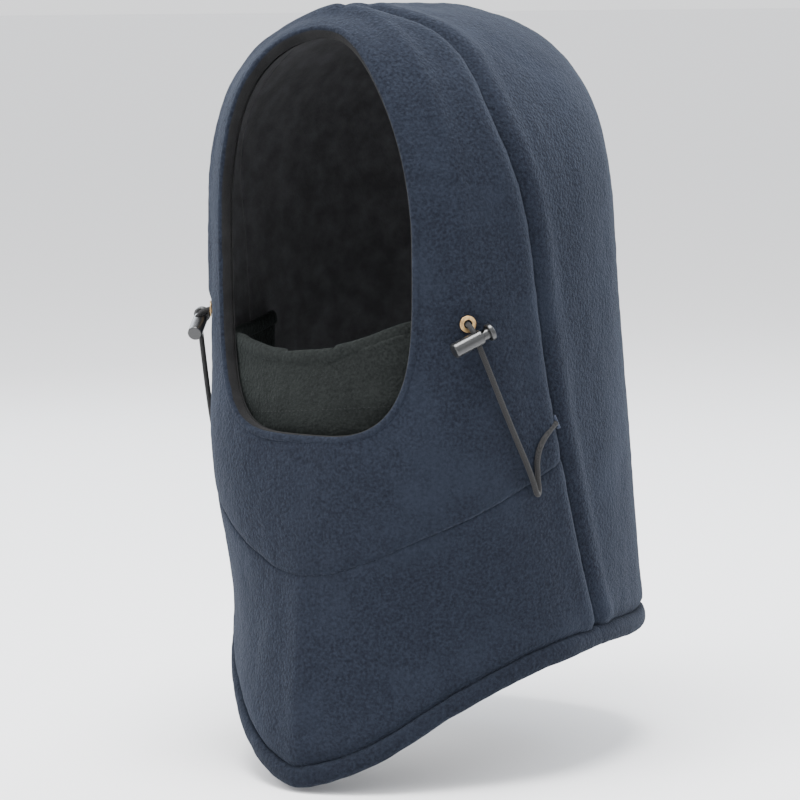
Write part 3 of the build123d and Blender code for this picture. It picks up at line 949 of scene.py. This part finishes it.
def mask_lines(count, rows):
    """Grid of points from the mask's top edge down, before they are laid on its face."""
    top_view = smooth_curve(MASK_TOP)
    angles = np.linspace(-1, 1, count)
    reach_angle = math.atan2(90.0, WIDEST_LINE - MASK_BACK)
    grid_points = np.zeros((rows, count, 3))
    for column, share in enumerate(angles):
        angle = share * reach_angle
        way = np.array([math.sin(angle), -math.cos(angle), 0.0])
        start = mask_face(np.array([way * 80 + np.array([0, WIDEST_LINE, -160.0])]), MASK_INSET)[0]
        height = np.interp(start[1], top_view[:, 0], top_view[:, 1]) + MASK_LEAN * start[0]
        for row, down in enumerate(np.linspace(0, 1, rows)):
            z = height - 5.0 + down * (MASK_BOTTOM + 3 - height)
            grid_points[row, column] = way * 80 + np.array([0, WIDEST_LINE, z])
    return grid_points


def mask_height(points):
    """Soft folds of the mask: shallow creases that fan out from its cheeks."""
    fold = points * np.array([0.5, 0.5, 1.6])
    return 1.0 * wander(fold, 20.0, 31) + 0.35 * wander(points, 7.0, 32)


def add_mask_ply(name, inset, *nodes):
    face = mask_face(mask_grid, inset)
    normals = face_normals(face, inset, MASK_DROP)
    lifted = face + normals * mask_height(face)[..., None]
    under = lifted - normals * MASK_PLY_THICKNESS
    piece = thick_grid(name, lifted, under, "mask", MASK_CLOTH)
    cloth(piece, (0.285, 0.08), 0.020, "mask_fabric", *nodes)


mask_grid = mask_lines(180, 44)
add_mask_ply("mask_outer_ply", MASK_INSET, "mask_outer_layer", "mask_hem")
add_mask_ply("mask_inner_ply", MASK_INSET + MASK_PLY_GAP, "mask_inner_layer")


def add_mask_edge():
    """The thick rolled top edge of the mask, and the elastic inside it."""
    line = mask_face(mask_grid[0] + np.array([0, 0, 1.0]), MASK_INSET + MASK_THICKNESS / 2 + 0.2)
    out = face_normals(line, MASK_INSET, MASK_DROP)
    along = unit(np.gradient(line, axis=0))
    across = unit(np.cross(along, out))
    swell = 1 + 0.07 * wander(line, 10.0, 41)
    edge = roll("mask_edge_roll", line, across, out, 3.8 * swell, 2.5 * swell, "mask", MASK_CLOTH, False, 20)
    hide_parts("mask_edge_binding")
    elastic = roll("mask_elastic_band", line, across, out, 2.4, 0.5, "mask", ELASTIC, False, 16)
    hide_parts("mask_edge_elastic")


add_mask_edge()


# ---- Stitching -------------------------------------------------------------------------------
def add_stitches(name, line, out, body, material, pitch=2.6, length=1.8, radius=0.26, lift_off=0.1):
    """A row of short thread stitches along a line, sunk a little into the cloth."""
    total = np.linalg.norm(np.diff(line, axis=0), axis=1).sum()
    count = int(total / pitch)
    centres = even(line, count)
    ways = unit(np.gradient(centres, axis=0))
    share, known = np.linspace(0, 1, count), np.linspace(0, 1, len(out))
    outs = unit(np.stack([np.interp(share, known, out[:, axis]) for axis in range(3)], 1))
    points, faces = [], []
    ring = np.linspace(0, 2 * math.pi, 6, endpoint=False)
    for centre, way, up in zip(centres, ways, outs):
        across = np.cross(way, up)
        start = len(points)
        for share, thick, sink in ((-0.5, 0.4, 0.35), (-0.3, 1, 0), (0.3, 1, 0), (0.5, 0.4, 0.35)):
            middle = centre + way * share * length + up * (lift_off - sink)
            for angle in ring:
                turn = across * math.cos(angle) + up * math.sin(angle)
                points.append(middle + turn * radius * thick)
        for band in range(3):
            for k in range(6):
                a = start + band * 6 + k
                b = start + band * 6 + (k + 1) % 6
                faces.append((a, a + 6, b + 6, b))
        faces.append(tuple(start + k for k in range(6)))
        faces.append(tuple(start + 18 + k for k in range(6))[::-1])
    piece = new_piece(name, np.array(points), faces, body, material)
    return piece


STITCH_HEIGHT = -194.5
TACK_TURNS = 11
TACK_PITCH = 0.72
TACK_THREAD_RADIUS = 0.34


def stitch_mask():
    line = mask_grid[0] * np.array([1, 1, 0])
    line[:, 2] = STITCH_HEIGHT + MASK_LEAN * line[:, 0]
    line = mask_face(line, MASK_INSET)
    out = face_normals(line, MASK_INSET, MASK_DROP)
    line = line + out * mask_height(line)[:, None]
    add_stitches("mask_topstitch", line[4:-4], out[4:-4], "mask", STITCH_THREAD, lift_off=-0.05)


stitch_mask()


def add_tack(side, sign):
    """Close zigzag stitching that holds the cord's end in the side seam."""
    end = np.array(FREE_CORD[-1])
    before = np.array(FREE_CORD[-2])
    way = unit(end - before)
    centre = end + way * 0.9
    out = face_normals(centre[None])[0]
    seam = unit(np.cross(way, out))
    points, faces = [], []
    ring = np.linspace(0, 2 * math.pi, 8, endpoint=False)
    for index in range(TACK_TURNS):
        middle = centre + seam * (index - TACK_TURNS // 2) * TACK_PITCH - out * 0.5
        start = len(points)
        for share, height in ((-1, -1.0), (-0.7, 0.2), (0, 0.75), (0.7, 0.2), (1, -1.0)):
            place = middle + way * share * 1.1 + out * height + seam * 0.25 * share * (-1) ** index
            for angle in ring:
                turn = seam * math.cos(angle) + (out + way * 0.3) * math.sin(angle)
                points.append(place + turn * TACK_THREAD_RADIUS)
        for band in range(4):
            for k in range(8):
                a = start + band * 8 + k
                b = start + band * 8 + (k + 1) % 8
                faces.append((a, b, b + 8, a + 8))
        faces.append(tuple(start + k for k in range(8))[::-1])
        faces.append(tuple(start + 32 + k for k in range(8)))
    points = np.array(points)
    if sign < 0:
        points = mirrored(points)
        faces = [face[::-1] for face in faces]
    piece = new_piece(f"cord_end_stitches_{side}", points, faces, "hood", TACK_THREAD)
    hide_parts(f"cord_tack_{side}")


for side_name, side_sign in SIDES.items():
    add_tack(side_name, side_sign)


# ---- Carried-over CAD pieces -----------------------------------------------------------------
def dress(node, material):
    """Give a CAD piece a better material."""
    piece = bpy.data.objects[node]
    for place in piece.material_slots:
        place.material = material


for side_name in SIDES:
    dress(f"eyelet_{side_name}", BRASS)
    dress(f"eyelet_washer_{side_name}", BRASS)
    dress(f"cord_lock_body_{side_name}", LOCK_PLASTIC)
    dress(f"cord_lock_plunger_{side_name}", LOCK_PLASTIC)
dress("drawcord_in_channel", CORD_BRAID)


# ---- Floor and soft studio light -------------------------------------------------------------
def add_floor():
    material = Shader("pale_floor", (0.90, 0.90, 0.91), 0.8, Specular_IOR_Level=0.1).material
    low = CAD_BOX[0][2] - 0.001
    half = 30.0
    mesh = bpy.data.meshes.new("studio_floor")
    corners = [(-half, -half, low), (half, -half, low), (half, half, low), (-half, half, low)]
    mesh.from_pydata(corners, [], [(0, 1, 2, 3)])
    mesh.materials.append(material)
    floor = bpy.data.objects.new("studio_floor", mesh)
    bpy.context.scene.collection.objects.link(floor)


def add_light(name, azimuth, rise, distance, size, power, colour=(1, 1, 1)):
    angle, lift_angle = math.radians(azimuth), math.radians(rise)
    flat = math.cos(lift_angle)
    way = Vector((math.sin(angle) * flat, -math.cos(angle) * flat, math.sin(lift_angle)))
    data = bpy.data.lights.new(name, "AREA")
    data.shape = "DISK"
    data.size = size
    data.energy = power
    data.color = colour
    light = bpy.data.objects.new(name, data)
    light.location = VIEW_CENTRE + way * distance
    light.rotation_euler = way.to_track_quat("Z", "Y").to_euler()
    bpy.context.scene.collection.objects.link(light)


add_floor()
add_light("key", -12, 42, 1.7, 1.1, 16)
add_light("fill", 95, 35, 1.8, 1.2, 5, (0.92, 0.96, 1.0))
add_light("rim_left", -120, 25, 1.5, 0.8, 7, (0.85, 0.92, 1.0))
add_light("rim_right", 165, 30, 1.6, 0.9, 14, (0.85, 0.92, 1.0))
add_light("top", 20, 78, 1.5, 1.0, 60)
world = bpy.data.worlds.new("studio")
world.use_nodes = True
world.node_tree.nodes["Background"].inputs["Color"].default_value = (0.96, 0.97, 0.99, 1)
world.node_tree.nodes["Background"].inputs["Strength"].default_value = 1.5
bpy.context.scene.world = world

bpy.context.view_layer.update()
